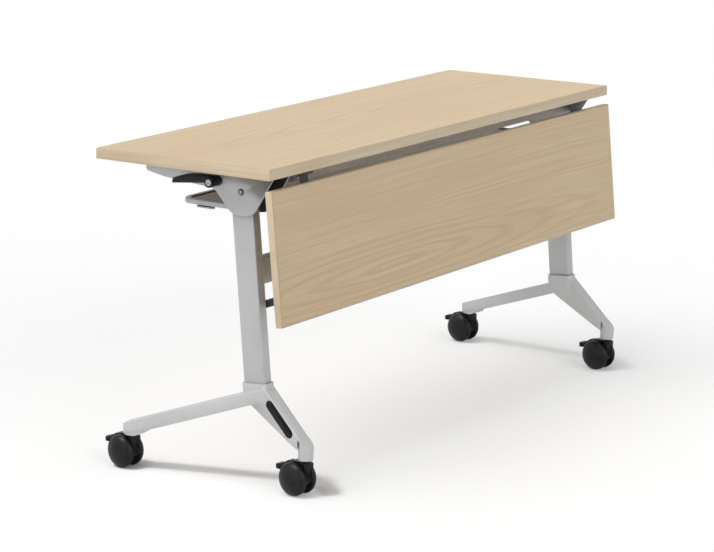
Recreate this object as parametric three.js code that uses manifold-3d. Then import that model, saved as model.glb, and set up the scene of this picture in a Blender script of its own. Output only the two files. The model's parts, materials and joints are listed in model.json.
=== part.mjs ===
// Flip top training table: a worktop that flips upright on two leaning T-legs, a modesty panel that
// hangs from the worktop and swings on a parallelogram, a storage tray and four twin-wheel casters.
// Millimetres, +Z up. +X runs along the table, +Y points to the user's side, -Y to the panel's side.
// Every size below can be changed by itself; the pieces that meet take their places from it.
import * as THREE from 'three';
import { mergeVertices } from 'three/addons/utils/BufferGeometryUtils.js';
import Module from 'manifold-3d';

const wasm = await Module();
wasm.setup();

const DEG = Math.PI / 180;
const GAP = 0.3; // clearance between pieces that touch or fit
const RUN = 0.5; // clearance beside pieces that turn
const OVER = 1; // how far cutters and joined solids reach past the faces they meet
const CURVE = 5; // segments in a round stretch of an outline

// Worktop
const topLength = 1500;
const topDepth = 500;
const topThickness = 25;
const topHeight = 760;
const bandThickness = 2;

// Modesty panel
const panelHeight = 308;
const panelThickness = 18;
const panelLean = 5.2 * DEG;
const panelDrop = 24; // from the worktop's underside to the panel's upper front edge
const panelForward = 5; // how far that edge stands in front of the worktop

// Flip pivot, measured from the worktop's front edge and underside
const pivotInset = 118;
const pivotDrop = 45;
const pivotBoltRadius = 6;
const pivotHeadRadius = 7.5;
const pivotHeadHeight = 3;

// Panel hinges, measured in the same way
const hingeInset = 14;
const hingeDrop = 5;
const hingeEndInset = 150; // from the worktop's end to a hinge's middle
const hingeWidth = 60;
const hingeKnuckleWidth = 30;
const hingeKnuckleRadius = 4.5;
const hingePinRadius = 2;
const hingeLeafThickness = 2.2;
const hingeLeafSetback = 1.5; // from the knuckle to the leaf under the worktop
const hingeTopLeafDepth = 24;
const hingePanelLeafHeight = 50;

// Columns
const legInset = 70; // from the worktop's end to the column's middle
const columnWidth = 28;
const columnDepth = 60;
const columnWall = 2;
const columnCorner = 4;
const columnLean = 4.33 * DEG;
const columnBehindPivot = 5; // the column's axis at the pivot's height
const columnTopDrop = 44; // from the pivot down to the column's upper end

// Pivot head on the column
const headRadius = 36;
const headBossRadius = 28;
const headPlugLength = 40;
const notchDepth = 4;
const notchWidth = 9;

// Flip bracket under the worktop: two cheeks joined by a flange
const bracketWidth = 66;
const cheekThickness = 5;
const cheekBevel = 1;
const flangeThickness = 4.7;

// A cheek's outline, measured from the pivot, with the setback of its rounded corners
const cheekFrontReach = 95;
const cheekBottom = 55;
const lobeFront = 31;
const lobeRear = 28;
const lobeRounding = 21;
const tailRoot = 76; // where the lobe's rear slope meets the tail
const tailRounding = 12;
const tailBend = 220; // where the tail's underside turns up
const tailBendRise = 11.5;
const cheekTailReach = 275;
const tailEndDepth = 23; // below the worktop
const tailEndRounding = 7;

// Release lever, its axis measured from the pivot
const leverBehindPivot = 61;
const leverAbovePivot = 21;
const leverCollarRadius = 14.5;
const leverCollarHeight = 4;
const leverShaftRadius = 6;
const leverBossRadius = 12;
const leverBossLength = 36;
const leverShaftGrip = 11;
const leverBladeWidth = 22;
const leverBladeInset = 2.5; // behind the boss's outer end
const leverBevel = 2;

// The blade's outline, measured from the lever's axis
const leverReach = 108;
const leverTipDrop = 12;
const leverTipThickness = 11;
const leverRootDrop = 1;
const leverRootRise = 14;
const leverCrownReach = 72;
const leverCrownRise = 14;
const leverCrownRounding = 34;

// Lock pawl on the lever's shaft
const pawlWidth = 20;
const pawlNose = 7;
const pawlHubRadius = 9;

// Top beam between the brackets
const beamDepth = 40;
const beamHeight = 30;
const beamInset = 47; // from the worktop's front edge
const beamWall = 2;

// Stretcher between the columns
const stretcherHeight = 60;
const stretcherDepth = 30;
const stretcherDrop = 189; // from the flip pivot to its middle
const stretcherWall = 2;

// Parallelogram link between column and panel
const linkRise = 53.7; // from the panel's lower edge up to the link's pin on the panel
const linkBehindAxis = 4; // how far its pivot lies behind the column's axis
const linkRadius = 9;
const linkThickness = 6;
const linkSpacer = 4;
const linkSpacerRadius = 7;
const linkPinRadius = 4;
const linkPinGrip = 6; // into the column
const linkEarThickness = 4;
const linkBracketWidth = 30;
const linkBracketHeight = 40;
const linkBracketPlate = 3;

// Storage tray, its heights and depths measured from the flip pivot
const trayClear = 38; // between a column's inner face and the rail
const trayBehindPivot = 77;
const trayDepth = 157;
const trayDrop = 62; // down to the rail's underside
const trayRailWidth = 12;
const trayRailHeight = 13;
const trayCorner = 30;
const trayRailBevel = 3;
const trayFloorThickness = 2;
const trayFloorRise = 8; // floor above the rail's underside
const trayLipHeight = 5;
const trayArmDepth = 16;
const trayArmHeight = 22;
const trayArmDrop = 102;
const trayArmBehindAxis = 12; // of the column
const trayArmShelf = 14; // the arm's level end at the rail

// Bag hook under the tray's side rail
const hookLength = 47;
const hookBehindLip = 61;
const hookWidth = 8;
const hookThickness = 4;
const hookSlot = 2;

// Twin-wheel casters
const wheelRadius = 40;
const wheelTrail = 27;
const casterHeading = -7 * DEG; // how the casters stand, turned about their stems
const wheelDome = 20;
const wheelChamfer = 2;
const casterWidth = 72;
const hoodWidth = 22;
const axleRadius = 3;
const axleLength = 44;
const stemRadius = 5.5;
const stemGrip = 16; // in the foot
const stemHoleSpare = 2;
const stemCollarRadius = 13;
const stemCollarHeight = 3;
const rearStemShow = 1; // bare stem between collar and foot
const frontStemShow = 5;

// The hood's outline, measured from the axle
const hoodFront = 38;
const hoodFrontRise = 10;
const hoodFrontDrop = 8;
const hoodFrontSlope = 4;
const hoodRear = 8;
const hoodRearDrop = 8;
const hoodCrown = 43;
const hoodCrownReach = 3;
const hoodShoulder = 6; // below the stem's collar
const hoodBack = 16; // the height of its back, below the brake pedal's hinge

// The brake pedal, measured from the axle: a fork on the hood's tongue, and a wide end behind the wheels
const pedalHingeReach = 22;
const pedalHingeRise = 34;
const pedalEyeRadius = 4.5;
const pedalPinRadius = 2;
const tongueWidth = 7;
const tongueLength = 10;
const pedalWidth = 25;
const pedalReach = 57;
const pedalEndLength = 11;
const pedalEndTop = 25;
const pedalEndBottom = 13;
const pedalBevel = 1.5;

// Feet: heights at the column are measured down from the collar, heights at a stem up from the caster's seat
const footWidth = 40;
const footBevel = 2.5;
const collarWall = 5;
const collarTop = 247;
const pocketDepth = 25;
const rearArmDrop = 15.7;
const rearArmTip = 34;
const rearArmThickness = 32;
const rearTipThickness = 25;
const rearTipTaper = 64; // how far from the end the underside starts to rise
const rearTipRounding = 4;
const rearTipCorner = 9; // in plan
const rearArmHeading = 9.27 * DEG;
const rearArmRoot = 30; // how far the arm starts in front of the column's axis
const rearStemReach = 330; // along the arm, from the column's foot to the caster's stem
const rearArmEnd = 19; // past the stem
const rearPadLength = 55;
const rearPadTail = 25; // the end of the pad that rises towards the arm
const rearPadRise = 10;
const rearPadWidth = 36;
const rearPadInset = 1.5; // from the arm's end
const rearPadRounding = 10;
const frontArmHeading = -2.9 * DEG;
const frontArmWidth = 37;
const frontStemReach = 140.9;
const frontArmDrop = 4;
const frontArmTip = 41.5;
const frontArmShoulder = 12; // how far the arm's upper edge drops behind the collar's front
const frontHeelReach = 17; // behind the column's axis
const frontHeelDrop = 56;
const frontHeelTip = 16;
const frontFlank = 28; // depth of the arm's side behind its front face, before the keel narrows
const frontFlankInset = 2; // how much that side leans in
const frontKeelDepth = 72; // from the front face to the narrow back
const frontKeelWidth = 10;
const frontShell = 3.5; // the arm's face over the caster's post, measured straight down
const frontPostRadius = 17.3;
const frontPostGap = 3.5; // round the post, under that shell
const frontRib = 20; // width of the rib between the arm and the post

// Insert in the front arm's outer side, along the arm from the collar and behind its front face
const insertStart = 42;
const insertSpan = 78;
const insertDrop = 14;
const insertWidth = 24;
const insertDepth = 3;

// Places worked out from the sizes
const underside = topHeight - topThickness;
const frontEdge = -topDepth / 2;
const pivot = { y: frontEdge + pivotInset, z: underside - pivotDrop };
const hinge = { y: frontEdge + hingeInset, z: underside - hingeDrop };
const lever = { y: pivot.y + leverBehindPivot, z: pivot.z + leverAbovePivot };
const leverDistance = Math.hypot(leverBehindPivot, leverAbovePivot);
const leverBearing = Math.atan2(leverAbovePivot, leverBehindPivot);
const legX = topLength / 2 - legInset;
const hingeX = topLength / 2 - hingeEndInset;
const columnOuter = -legX - columnWidth / 2;
const columnInner = -legX + columnWidth / 2;
const cheekOuter = columnOuter - RUN - cheekThickness;
const bracketInner = cheekOuter + bracketWidth;
const cheekInner = bracketInner - cheekThickness;
const columnY = (z) => pivot.y + columnBehindPivot + (z - pivot.z) * Math.tan(columnLean);
const panelBottom = underside - panelDrop - panelHeight * Math.cos(panelLean);
const linkHeight = panelBottom + linkRise - (hinge.z - pivot.z);
const linkPivot = { y: columnY(linkHeight) + linkBehindAxis, z: linkHeight };
const linkEnd = { y: linkPivot.y + hinge.y - pivot.y, z: linkPivot.z + hinge.z - pivot.z };
const stretcherCentre = pivot.z - stretcherDrop;
const trayX = -columnInner - trayClear;
const trayFront = pivot.y + trayBehindPivot;
const trayRear = trayFront + trayDepth;
const trayRailBottom = pivot.z - trayDrop;
const casterHeight = 2 * wheelRadius + stemCollarHeight;
const rearSeat = casterHeight + rearStemShow;
const frontSeat = casterHeight + frontStemShow;

// Colours from the photograph
function finish(color, roughness, metalness) {
  return new THREE.MeshStandardMaterial({ color, roughness, metalness });
}
const maple = finish(0xd8bd95, 0.55, 0);
const mapleEdge = finish(0xcdb38c, 0.6, 0);
const silverPaint = finish(0xb9bbbc, 0.4, 0.6);
const darkPaint = finish(0x3a3836, 0.5, 0.3);
const sheetPaint = finish(0x8c8c8a, 0.5, 0.4);
const castSilver = finish(0xb4b6b6, 0.45, 0.7);
const steel = finish(0x9b9d9e, 0.3, 1);
const blackPlastic = finish(0x1b1b1c, 0.5, 0);

// Solids: a closed mesh becomes a manifold to be joined or cut, and comes back as a geometry
function welded(geometry) {
  const bare = geometry.clone();
  bare.deleteAttribute('normal');
  bare.deleteAttribute('uv');
  return mergeVertices(bare, 1e-4);
}

function solid(geometry) {
  const mesh = welded(geometry);
  const vertProperties = Float32Array.from(mesh.attributes.position.array);
  const triVerts = Uint32Array.from(mesh.index.array);
  return new wasm.Manifold(new wasm.Mesh({ numProp: 3, vertProperties, triVerts }));
}

function geometryOf(manifold) {
  const mesh = manifold.getMesh();
  const geometry = new THREE.BufferGeometry();
  geometry.setAttribute('position', new THREE.BufferAttribute(Float32Array.from(mesh.vertProperties), 3));
  geometry.setIndex(Array.from(mesh.triVerts));
  geometry.computeVertexNormals();
  return geometry;
}

const joined = (...pieces) => geometryOf(pieces.map(solid).reduce((a, b) => a.add(b)));
const common = (a, b) => geometryOf(solid(a).intersect(solid(b)));
const cut = (piece, ...tools) => geometryOf(tools.map(solid).reduce((a, b) => a.subtract(b), solid(piece)));

function mirrored(geometry) {
  const copy = welded(geometry);
  copy.scale(-1, 1, 1);
  const index = Array.from(copy.index.array);
  for (let i = 0; i < index.length; i += 3) {
    [index[i + 1], index[i + 2]] = [index[i + 2], index[i + 1]];
  }
  copy.setIndex(index);
  copy.computeVertexNormals();
  return copy;
}

// An outline through corner points; a third number is the setback of a rounded corner
function outline(corners) {
  const shape = new THREE.Shape();
  corners.forEach(([u, v, setback = 0], i) => {
    const corner = new THREE.Vector2(u, v);
    const towards = (j) => new THREE.Vector2(...corners.at(j % corners.length).slice(0, 2))
      .sub(corner).setLength(setback).add(corner);
    const [start, end] = [towards(i - 1), towards(i + 1)];
    if (i === 0) shape.moveTo(start.x, start.y);
    else shape.lineTo(start.x, start.y);
    if (setback > 0) shape.quadraticCurveTo(u, v, end.x, end.y);
  });
  return shape;
}

function rectangle(u0, u1, v0, v1) {
  return outline([[u0, v0], [u1, v0], [u1, v1], [u0, v1]]);
}

function roundedRectangle(width, depth, radius) {
  const [w, d] = [width / 2 - radius, depth / 2 - radius];
  const shape = new THREE.Shape();
  shape.absarc(w, -d, radius, -Math.PI / 2, 0);
  shape.absarc(w, d, radius, 0, Math.PI / 2);
  shape.absarc(-w, d, radius, Math.PI / 2, Math.PI);
  shape.absarc(-w, -d, radius, Math.PI, 1.5 * Math.PI);
  return shape;
}

// A capsule outline between two points
function capsule(a, b, radius) {
  const angle = Math.atan2(b[1] - a[1], b[0] - a[0]);
  const shape = new THREE.Shape();
  shape.absarc(b[0], b[1], radius, angle - Math.PI / 2, angle + Math.PI / 2);
  shape.absarc(a[0], a[1], radius, angle + Math.PI / 2, angle + 1.5 * Math.PI);
  return shape;
}

// A shape with another shape cut out of it
function hollow(outer, inner) {
  outer.holes.push(new THREE.Path(inner.getPoints(CURVE).reverse()));
  return outer;
}

function alongZ(shape, from, to, bevel = 0) {
  const depth = to - from - 2 * bevel;
  const geometry = new THREE.ExtrudeGeometry(shape, {
    depth, steps: 1, curveSegments: CURVE, bevelEnabled: bevel > 0,
    bevelThickness: bevel, bevelSize: bevel, bevelOffset: -bevel, bevelSegments: 2,
  });
  return geometry.translate(0, 0, from + bevel);
}

// An outline in (y, z), extruded along X
const yzToX = new THREE.Matrix4().makeBasis(
  new THREE.Vector3(0, 1, 0), new THREE.Vector3(0, 0, 1), new THREE.Vector3(1, 0, 0));
function alongX(shape, from, to, bevel = 0) {
  return alongZ(shape, from, to, bevel).applyMatrix4(yzToX);
}

function block(x0, x1, y0, y1, z0, z1) {
  const geometry = new THREE.BoxGeometry(x1 - x0, y1 - y0, z1 - z0);
  return geometry.translate((x0 + x1) / 2, (y0 + y1) / 2, (z0 + z1) / 2);
}

// Round rods: the sides grow with the radius, always by fours
const sidesOf = (radius) => 4 * Math.ceil(1 + Math.sqrt(radius));

function rodX(radius, x0, x1, y, z) {
  const geometry = new THREE.CylinderGeometry(radius, radius, x1 - x0, sidesOf(radius));
  return geometry.rotateZ(Math.PI / 2).translate((x0 + x1) / 2, y, z);
}

function rodZ(radius, z0, z1, x, y) {
  const geometry = new THREE.CylinderGeometry(radius, radius, z1 - z0, sidesOf(radius));
  return geometry.rotateX(Math.PI / 2).translate(x, y, (z0 + z1) / 2);
}

// The table: one group, with a mesh for each piece
const table = new THREE.Group();

function add(name, geometry, material, parent = table) {
  const mesh = new THREE.Mesh(geometry, material);
  mesh.name = name;
  parent.add(mesh);
}

// The left piece as drawn, and its mirror image on the right
function addPair(name, geometry, material, parent = table) {
  add(`${name}_left`, geometry, material, parent);
  add(`${name}_right`, mirrored(geometry), material, parent);
}

// A flat board inside an edge band; both lie in the plane of x and y, centred
function boardAndBand(length, depth, thickness) {
  const inset = 2 * (bandThickness + GAP);
  const core = new THREE.BoxGeometry(length - inset, depth - inset, thickness);
  const [x, y] = [length / 2, depth / 2];
  const [x1, y1] = [x - bandThickness, y - bandThickness];
  const ring = hollow(rectangle(-x, x, -y, y), rectangle(-x1, x1, -y1, y1));
  return [core, alongZ(ring, -thickness / 2, thickness / 2)];
}

// Worktop
const worktop = new THREE.Group();
worktop.position.z = topHeight - topThickness / 2;
table.add(worktop);
const [topCore, topBand] = boardAndBand(topLength, topDepth, topThickness);
add('worktop', topCore, maple, worktop);
add('worktop_edge_band', topBand, mapleEdge, worktop);

// Modesty panel, in a group that leans with it; its local y runs up the board before it is stood up
const panel = new THREE.Group();
panel.rotation.x = Math.PI / 2 - panelLean;
const panelTopEdge = new THREE.Vector3(0, frontEdge - panelForward, underside - panelDrop);
panel.position.copy(panelTopEdge).sub(
  new THREE.Vector3(0, panelHeight / 2, panelThickness / 2).applyEuler(panel.rotation));
table.add(panel);
const [panelCore, panelBand] = boardAndBand(topLength, panelHeight, panelThickness);
add('modesty_panel', panelCore, maple, panel);
add('panel_edge_band', panelBand, mapleEdge, panel);

// Points of the table seen from the panel: up the board, and behind its back face
panel.updateMatrixWorld(true);
function onPanel({ y, z }) {
  const local = panel.worldToLocal(new THREE.Vector3(0, y, z));
  return { up: local.y, back: -local.z - panelThickness / 2 };
}

// A piece on the panel's back, drawn with y as the distance behind the board and z up the board
function standOnPanel(geometry) {
  return geometry.rotateX(-Math.PI / 2).translate(0, 0, -panelThickness / 2);
}

// Panel hinges: a leaf under the worktop, a leaf on the panel's back and a pin
function topLeaf() {
  const [outer, inner] = [hingeWidth / 2, hingeKnuckleWidth / 2 + GAP];
  const leafTop = underside - GAP;
  const leafBottom = leafTop - hingeLeafThickness;
  const front = hinge.y + hingeKnuckleRadius + hingeLeafSetback;
  const plate = block(-outer, outer, front, front + hingeTopLeafDepth, leafBottom, leafTop);
  const knuckles = [[-outer, -inner], [inner, outer]].map(([a, b]) => joined(
    rodX(hingeKnuckleRadius, a, b, hinge.y, hinge.z),
    block(a, b, hinge.y, front + OVER, leafBottom, leafTop - GAP)));
  const bore = rodX(hingePinRadius + GAP, -outer - OVER, outer + OVER, hinge.y, hinge.z);
  return cut(joined(plate, ...knuckles), bore);
}

function panelLeaf() {
  const pin = onPanel(hinge);
  const [outer, middle] = [hingeWidth / 2, hingeKnuckleWidth / 2];
  const [leafFront, leafBack] = [GAP, GAP + hingeLeafThickness];
  const top = panelHeight / 2;
  const plate = block(-outer, outer, leafFront, leafBack, top - hingePanelLeafHeight, top);
  const strip = block(-middle, middle, leafFront, leafBack, top - OVER, pin.up);
  const knuckle = rodX(hingeKnuckleRadius, -middle, middle, pin.back, pin.up);
  const bore = rodX(hingePinRadius + GAP, -middle - OVER, middle + OVER, pin.back, pin.up);
  return standOnPanel(cut(joined(plate, strip, knuckle), bore));
}

function hingePin() {
  return rodX(hingePinRadius, -hingeWidth / 2, hingeWidth / 2, hinge.y, hinge.z);
}

for (const [side, x] of [['left', -hingeX], ['right', hingeX]]) {
  add(`panel_hinge_top_leaf_${side}`, topLeaf().translate(x, 0, 0), darkPaint);
  add(`panel_hinge_pin_${side}`, hingePin().translate(x, 0, 0), steel);
  add(`panel_hinge_panel_leaf_${side}`, panelLeaf().translate(x, 0, 0), darkPaint, panel);
}

// Parallelogram links: a bar with a pin into the column and a pin into the panel's bracket
const linkOuter = columnInner + linkSpacer;
const linkInner = linkOuter + linkThickness;
const earOuter = linkInner + RUN;
const earInner = earOuter + linkEarThickness;

function link() {
  const side = capsule([linkPivot.y, linkPivot.z], [linkEnd.y, linkEnd.z], linkRadius);
  const bar = alongX(side, linkOuter, linkInner);
  const spacer = rodX(linkSpacerRadius, columnInner + GAP, linkOuter + OVER, linkPivot.y, linkPivot.z);
  const columnPin = rodX(linkPinRadius, columnInner - linkPinGrip, linkOuter, linkPivot.y, linkPivot.z);
  const panelPin = rodX(linkPinRadius, linkInner - OVER, earInner + OVER, linkEnd.y, linkEnd.z);
  return joined(bar, spacer, columnPin, panelPin);
}
addPair('panel_link', link(), darkPaint);

function linkBracket() {
  const { up, back } = onPanel(linkEnd);
  const plateBack = GAP + linkBracketPlate;
  const ear = alongX(capsule([plateBack, up], [back, up], linkRadius), earOuter, earInner);
  const board = block(earOuter - OVER, earInner + OVER, -linkRadius, GAP, up - linkRadius, up + linkRadius);
  const plate = block(earOuter, earOuter + linkBracketWidth, GAP, plateBack,
    up - linkBracketHeight / 2, up + linkBracketHeight / 2);
  const bore = rodX(linkPinRadius + GAP, earOuter - OVER, earInner + 2 * OVER, back, up);
  return standOnPanel(cut(joined(cut(ear, board), plate), bore));
}
addPair('link_bracket', linkBracket(), darkPaint, panel);

// Columns: rectangular tubes that lean towards the user, drawn upright on the pivot's height
function lean(geometry) {
  return geometry.rotateX(-columnLean).translate(-legX, pivot.y + columnBehindPivot, pivot.z);
}
const alongColumn = (z) => (z - pivot.z) / Math.cos(columnLean);
const columnTop = alongColumn(pivot.z - columnTopDrop);
const columnBottom = alongColumn(collarTop - pocketDepth);

function columnSection(grow) {
  return roundedRectangle(columnWidth + 2 * grow, columnDepth + 2 * grow, columnCorner + grow);
}

function column() {
  const tube = lean(alongZ(hollow(columnSection(0), columnSection(-columnWall)), columnBottom, columnTop));
  const pinHole = rodX(linkPinRadius + GAP, columnInner - columnWall - OVER, columnInner + OVER,
    linkPivot.y, linkPivot.z);
  return cut(tube, pinHole);
}
addPair('column', column(), silverPaint);

// Pivot head: a round cast head that plugs into the column and carries the flip bolt
function pivotHead() {
  const disc = rodX(headRadius, columnOuter, columnInner, pivot.y, pivot.z);
  const boss = rodX(headBossRadius, columnInner - OVER, cheekInner - RUN, pivot.y, pivot.z);
  const neck = lean(alongZ(columnSection(0), columnTop + GAP, 0));
  const plug = lean(alongZ(columnSection(-columnWall - GAP), columnTop - headPlugLength, columnTop + OVER));
  const bore = rodX(pivotBoltRadius + GAP, columnOuter - OVER, cheekInner, pivot.y, pivot.z);
  const notches = [leverBearing, leverBearing + Math.PI / 2].map((angle) => {
    const tool = block(columnOuter - OVER, columnInner + OVER, headRadius - notchDepth, headRadius + OVER,
      -notchWidth / 2, notchWidth / 2);
    return tool.rotateX(angle).translate(0, pivot.y, pivot.z);
  });
  return cut(joined(disc, boss, neck, plug), bore, ...notches);
}
addPair('pivot_head', pivotHead(), darkPaint);

// Flip bracket: two cheeks and a flange, with a long tail under the worktop
const bracketTop = underside - GAP;

function cheekOutline() {
  const { y, z } = pivot;
  return outline([
    [y - cheekFrontReach, bracketTop],
    [y - lobeFront, z - cheekBottom, lobeRounding],
    [y + lobeRear, z - cheekBottom, lobeRounding],
    [y + tailRoot, z, tailRounding],
    [y + tailBend, z + tailBendRise, tailRounding],
    [y + cheekTailReach, bracketTop - tailEndDepth, tailEndRounding],
    [y + cheekTailReach, bracketTop]]);
}

function flipBracket() {
  const outer = alongX(cheekOutline(), cheekOuter, cheekOuter + cheekThickness, cheekBevel);
  const inner = alongX(cheekOutline(), cheekInner, bracketInner);
  const flange = block(cheekOuter + cheekBevel, bracketInner - OVER, pivot.y - cheekFrontReach,
    pivot.y + cheekTailReach, bracketTop - flangeThickness, bracketTop);
  const collarOuter = cheekOuter - leverCollarHeight;
  const collar = rodX(leverCollarRadius, collarOuter, cheekOuter + OVER, lever.y, lever.z);
  const shaftHole = rodX(leverShaftRadius + GAP, collarOuter - OVER, bracketInner + OVER, lever.y, lever.z);
  const boltHole = rodX(pivotBoltRadius + GAP, cheekOuter - OVER, bracketInner + OVER, pivot.y, pivot.z);
  return cut(joined(outer, inner, flange, collar), shaftHole, boltHole);
}
addPair('flip_bracket', flipBracket(), silverPaint);

function pivotBolt() {
  const shank = rodX(pivotBoltRadius, cheekOuter - OVER, bracketInner, pivot.y, pivot.z);
  const head = rodX(pivotHeadRadius, cheekOuter - GAP - pivotHeadHeight, cheekOuter - GAP, pivot.y, pivot.z);
  return joined(shank, head);
}
addPair('pivot_bolt', pivotBolt(), steel);

// Release lever: a plastic handle on a shaft whose pawl points at the head's notch
const leverOuter = cheekOuter - leverCollarHeight - RUN;
const leverEnd = leverOuter - leverBossLength;

function leverHandle() {
  const { y, z } = lever;
  const blade = outline([
    [y, z - leverRootDrop],
    [y + leverReach, z - leverTipDrop],
    [y + leverReach, z - leverTipDrop + leverTipThickness],
    [y + leverCrownReach, z + leverCrownRise, leverCrownRounding],
    [y, z + leverRootRise]]);
  const bladeOuter = leverEnd + leverBladeInset;
  const arm = alongX(blade, bladeOuter, bladeOuter + leverBladeWidth, leverBevel);
  const boss = rodX(leverBossRadius, leverEnd, leverOuter, y, z);
  const bore = rodX(leverShaftRadius + GAP, leverOuter - leverShaftGrip, leverOuter + OVER, y, z);
  return cut(joined(arm, boss), bore);
}
addPair('lever_handle', leverHandle(), blackPlastic);

function leverShaft() {
  const shaft = rodX(leverShaftRadius, leverOuter - leverShaftGrip + GAP, bracketInner, lever.y, lever.z);
  const [pawlOuter, pawlInner] = [-legX - pawlWidth / 2, -legX + pawlWidth / 2];
  const hub = rodX(pawlHubRadius, pawlOuter, pawlInner, lever.y, lever.z);
  const nose = block(pawlOuter, pawlInner, headRadius + RUN, leverDistance, -pawlNose / 2, pawlNose / 2);
  return joined(shaft, hub, nose.rotateX(leverBearing).translate(0, pivot.y, pivot.z));
}
addPair('lever_shaft', leverShaft(), steel);

// Beams along the table: rectangular tubes with open ends
function tubeAlongX(y0, y1, z0, z1, wall, half) {
  const inside = rectangle(y0 + wall, y1 - wall, z0 + wall, z1 - wall);
  return alongX(hollow(rectangle(y0, y1, z0, z1), inside), -half, half);
}

const beamFront = frontEdge + beamInset;
add('top_beam', tubeAlongX(beamFront, beamFront + beamDepth, bracketTop - beamHeight, bracketTop, beamWall,
  -bracketInner - GAP), silverPaint);

const stretcherY = columnY(stretcherCentre);
add('stretcher', tubeAlongX(stretcherY - stretcherDepth / 2, stretcherY + stretcherDepth / 2,
  stretcherCentre - stretcherHeight / 2, stretcherCentre + stretcherHeight / 2, stretcherWall,
  -columnInner - GAP), silverPaint);

// Storage tray: a U-shaped rail, a sheet floor and an arm to each column
function trayPlan(inset) {
  const [x, rear, radius] = [trayX - inset, trayRear - inset, trayCorner - inset];
  const shape = new THREE.Shape();
  shape.moveTo(x, trayFront);
  shape.lineTo(x, rear - radius);
  shape.absarc(x - radius, rear - radius, radius, 0, Math.PI / 2);
  shape.absarc(-x + radius, rear - radius, radius, Math.PI / 2, Math.PI);
  shape.lineTo(-x, trayFront);
  return shape;
}

function trayRail() {
  const points = [...trayPlan(0).getPoints(CURVE), ...trayPlan(trayRailWidth).getPoints(CURVE).reverse()];
  return alongZ(new THREE.Shape(points), trayRailBottom, trayRailBottom + trayRailHeight, trayRailBevel);
}
add('tray_rail', trayRail(), silverPaint);

function trayFloor() {
  const bottom = trayRailBottom + trayFloorRise;
  const inset = trayRailWidth + GAP;
  const sheet = alongZ(trayPlan(inset), bottom, bottom + trayFloorThickness);
  const half = trayX - inset;
  const lip = block(-half, half, trayFront, trayFront + trayFloorThickness, bottom, bottom + trayLipHeight);
  return joined(sheet, lip);
}
add('tray_floor', trayFloor(), sheetPaint);

function trayArm() {
  const [armBottom, railTop] = [pivot.z - trayArmDrop, trayRailBottom + trayRailHeight];
  const armTop = armBottom + trayArmHeight;
  const front = columnY((armBottom + armTop) / 2) + trayArmBehindAxis;
  const back = front + trayArmDepth;
  const end = trayFront - GAP;
  const side = outline([[front, armBottom], [back, armBottom], [end - trayArmShelf, trayRailBottom],
    [end, trayRailBottom], [end, railTop], [end - trayArmShelf, railTop], [back, armTop], [front, armTop]]);
  const arm = alongX(side, -trayX, -trayX + trayRailWidth);
  const root = block(columnInner + GAP, -trayX + OVER, front, back, armBottom, armTop);
  return joined(arm, root);
}
addPair('tray_arm', trayArm(), silverPaint);

function bagHook() {
  const x = -trayX + (trayRailWidth - hookWidth) / 2;
  const [top, front] = [trayRailBottom - GAP, trayFront + hookBehindLip];
  const barTop = top - hookSlot;
  const bar = block(x, x + hookWidth, front, front + hookLength, barTop - hookThickness, barTop);
  const post = block(x, x + hookWidth, front, front + hookThickness, barTop - OVER, top);
  return joined(bar, post);
}
addPair('bag_hook', bagHook(), silverPaint);

// Feet: a collar for the column, a long rear arm, a short steep front arm, and a caster seat on each
const heelY = columnY(collarTop);

// A piece of an arm, drawn with y along it from the column's foot; the arm turns about its root
function alongArm(geometry, heading, root = 0) {
  return geometry.translate(0, root, 0).rotateZ(heading).translate(-legX, heelY - root, 0);
}

function stemPlace(reach, heading, root = 0) {
  const length = reach + root;
  return { x: -legX - Math.sin(heading) * length, y: heelY - root + Math.cos(heading) * length };
}
const rearStem = stemPlace(rearStemReach, rearArmHeading, rearArmRoot);
const frontStem = stemPlace(-frontStemReach, frontArmHeading);

// Heights of an arm's edge along it: a straight line through two points
function edge(y0, z0, y1, z1) {
  return (y) => z0 + (y - y0) * (z1 - z0) / (y1 - y0);
}
const rearTop = edge(0, collarTop - rearArmDrop, rearStemReach, rearSeat + rearArmTip);
const frontTop = edge(-columnDepth / 2, collarTop - frontArmDrop, -frontStemReach, frontSeat + frontArmTip);
const frontUnder = edge(frontHeelReach, collarTop - frontHeelDrop, -frontStemReach, frontSeat + frontHeelTip);

function rearArm() {
  const half = footWidth / 2;
  const end = rearStemReach + rearArmEnd;
  const taperStart = end - rearTipTaper;
  const side = outline([
    [-rearArmRoot, rearTop(-rearArmRoot)],
    [-rearArmRoot, rearTop(-rearArmRoot) - rearArmThickness],
    [taperStart, rearTop(taperStart) - rearArmThickness],
    [end, rearTop(end) - rearTipThickness],
    [end, rearTop(end), rearTipRounding]]);
  const length = end + rearArmRoot;
  const plan = alongZ(roundedRectangle(footWidth, length, rearTipCorner), rearSeat, collarTop)
    .translate(0, end - length / 2, 0);
  const bar = common(alongX(side, -half, half, footBevel), plan);
  const slab = alongZ(roundedRectangle(rearPadWidth, rearPadLength, rearPadRounding), rearSeat, collarTop)
    .translate(0, end - rearPadInset - rearPadLength / 2, 0);
  const inArm = (y) => rearTop(y) - rearTipThickness / 2;
  const tail = end - rearPadInset - rearPadLength;
  const below = outline([[tail, rearSeat + rearPadRise], [tail + rearPadTail, rearSeat],
    [end + OVER, rearSeat], [end + OVER, inArm(end)], [tail, inArm(tail)]]);
  const pad = common(slab, alongX(below, -rearPadWidth, rearPadWidth));
  return alongArm(joined(bar, pad), rearArmHeading, rearArmRoot);
}

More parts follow.
